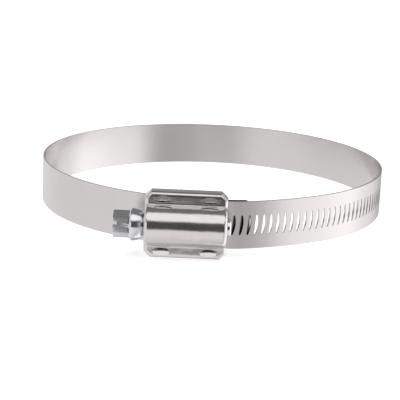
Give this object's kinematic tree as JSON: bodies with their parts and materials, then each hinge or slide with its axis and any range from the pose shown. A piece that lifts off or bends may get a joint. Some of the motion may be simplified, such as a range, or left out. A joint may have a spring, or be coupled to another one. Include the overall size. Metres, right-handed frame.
{
  "type": "worm drive hose clamp",
  "caption": "Stainless worm drive hose clamp: slotted strip hoop, pressed housing on a saddle with four lock tabs, and a hexagon-headed worm screw.",
  "frame": {"origin": "middle of the hoop on the hose axis, half way up the strip's width", "axes": "+Z along the hose axis; the housing is on the -Y side and the screw lies along X with its head towards -X"},
  "size_m": [0.1242, 0.1361, 0.022],
  "materials": {
    "band_steel": "satin rolled stainless strip",
    "housing_steel": "bright pressed stainless",
    "screw_steel": "bright plated steel"
  },
  "bodies": {
    "clamp": {"band": "band_steel", "saddle": "housing_steel", "housing_cover": "housing_steel"},
    "screw": {"worm_screw": "screw_steel"}
  },
  "joints": [
    {"name": "screw_turn", "type": "hinge", "parent": "clamp", "child": "screw", "pos_m": [-0.00825, -0.0672, 0], "axis": [1, 0, 0], "continuous": true, "deforming": ["band"]}
  ]
}
